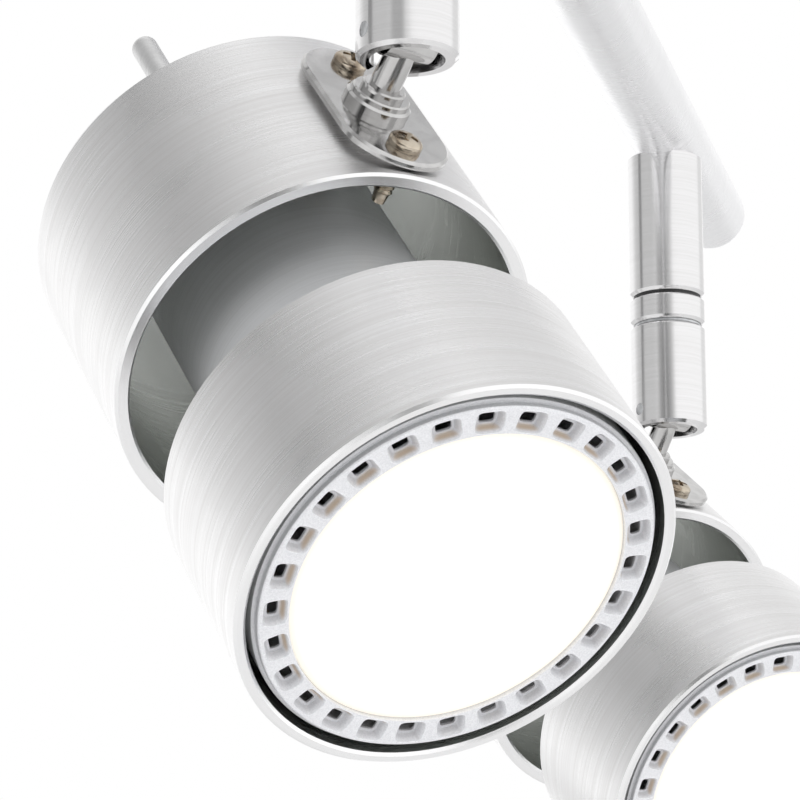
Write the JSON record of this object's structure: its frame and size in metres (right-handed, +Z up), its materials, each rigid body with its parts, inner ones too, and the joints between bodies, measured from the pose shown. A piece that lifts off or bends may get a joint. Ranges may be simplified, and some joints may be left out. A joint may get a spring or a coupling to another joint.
{
  "type": "track lighting fixture",
  "caption": "Ceiling spotlight bar: round canopy, horizontal tube, stems with swivelling and tilting cylindrical metal heads, each split into a front ring and a rear cup on a neck.",
  "frame": {"origin": "middle of the canopy's back, in the ceiling plane", "axes": "+Z up, out of the fixture's back into the ceiling; +X along the bar, from the near head to the far head; +Y across the bar, away from the side the heads face"},
  "size_m": [0.289, 0.1031, 0.1837],
  "materials": {
    "plate_steel": "zinc-plated pressed steel",
    "canopy_steel": "satin nickel, brushed round the rim",
    "bar_steel": "satin nickel, brushed round the tube",
    "stem_chrome": "polished with bright edges",
    "head_aluminium": "turned, fine lines round the shell",
    "saddle_chrome": "mirror polished",
    "screw_brass": "pale nickelled brass",
    "screw_steel": "zinc-plated",
    "bush_plastic": "self-lubricating black plastic",
    "grommet_rubber": "soft black",
    "block_plastic": "moulded, off-white",
    "holder_plastic": "heat-resistant, off-white",
    "lead_sleeve": "smooth insulation",
    "lamp_silver": "silver paint on fine-grained casting",
    "diffuser_white": "frosted, lit from behind",
    "lamp_white": "smooth white",
    "pin_nickel": "nickel-plated contact"
  },
  "bodies": {
    "fixture": {"mounting_plate": "plate_steel", "entry_grommet": "grommet_rubber", "canopy_cover": "canopy_steel", "canopy_screws": "screw_steel", "canopy_posts": "canopy_steel", "post_nuts": "screw_steel", "support_bar": "bar_steel", "bar_end_caps": "bar_steel", "terminal_block": "block_plastic", "terminal_screws": "screw_steel", "supply_leads": "lead_sleeve", "stem_sleeve_near": "stem_chrome", "stem_stud_near": "screw_steel", "pivot_bush_near": "bush_plastic", "swivel_collar_near": "stem_chrome", "stem_sleeve_far": "stem_chrome", "stem_stud_far": "screw_steel", "pivot_bush_far": "bush_plastic", "swivel_collar_far": "stem_chrome"},
    "swivel_near": {"swivel_barrel_near": "stem_chrome", "swivel_spindle_near": "screw_steel", "friction_washer_near": "screw_steel", "spindle_nut_near": "screw_steel", "tilt_axle_near": "screw_steel"},
    "head_near": {"tilt_arm_near": "saddle_chrome", "saddle_plate_near": "saddle_chrome", "saddle_screws_near": "screw_brass", "arm_nut_near": "screw_steel", "rear_cup_near": "head_aluminium", "neck_tube_near": "head_aluminium", "front_ring_near": "head_aluminium", "aiming_peg_near": "head_aluminium", "rear_screws_near": "screw_steel", "lampholder_near": "holder_plastic", "head_leads_near": "lead_sleeve"},
    "lamp_near": {"lamp_housing_near": "lamp_silver", "lamp_diffuser_near": "diffuser_white", "lamp_base_near": "lamp_white", "lamp_pins_near": "pin_nickel"},
    "swivel_far": {"swivel_barrel_far": "stem_chrome", "swivel_spindle_far": "screw_steel", "friction_washer_far": "screw_steel", "spindle_nut_far": "screw_steel", "tilt_axle_far": "screw_steel"},
    "head_far": {"tilt_arm_far": "saddle_chrome", "saddle_plate_far": "saddle_chrome", "saddle_screws_far": "screw_brass", "arm_nut_far": "screw_steel", "rear_cup_far": "head_aluminium", "neck_tube_far": "head_aluminium", "front_ring_far": "head_aluminium", "aiming_peg_far": "head_aluminium", "rear_screws_far": "screw_steel", "lampholder_far": "holder_plastic", "head_leads_far": "lead_sleeve"},
    "lamp_far": {"lamp_housing_far": "lamp_silver", "lamp_diffuser_far": "diffuser_white", "lamp_base_far": "lamp_white", "lamp_pins_far": "pin_nickel"}
  },
  "joints": [
    {"name": "pan_near", "type": "hinge", "parent": "fixture", "child": "swivel_near", "pos_m": [-0.0925, 0, -0.09595], "axis": [0, 0, 1], "range_deg": [-126.6, 213.4]},
    {"name": "tilt_near", "type": "hinge", "parent": "swivel_near", "child": "head_near", "pos_m": [-0.0925, 0, -0.09595], "axis": [0.7266, -0.6871, 0], "range_deg": [-48.25, 41.75]},
    {"name": "lamp_twist_near", "type": "hinge", "parent": "head_near", "child": "lamp_near", "pos_m": [-0.07297, 0.02065, -0.12132], "axis": [-0.4575, -0.4838, -0.7461], "range_deg": [0, 25]},
    {"name": "pan_far", "type": "hinge", "parent": "fixture", "child": "swivel_far", "pos_m": [0.0925, 0, -0.09595], "axis": [0, 0, 1], "range_deg": [-127, 213]},
    {"name": "tilt_far", "type": "hinge", "parent": "swivel_far", "child": "head_far", "pos_m": [0.0925, 0, -0.09595], "axis": [0.7314, -0.682, 0], "range_deg": [-38, 52]},
    {"name": "lamp_twist_far", "type": "hinge", "parent": "head_far", "child": "lamp_far", "pos_m": [0.1085, 0.01716, -0.12597], "axis": [-0.5374, -0.5763, -0.6157], "range_deg": [0, 25]}
  ]
}
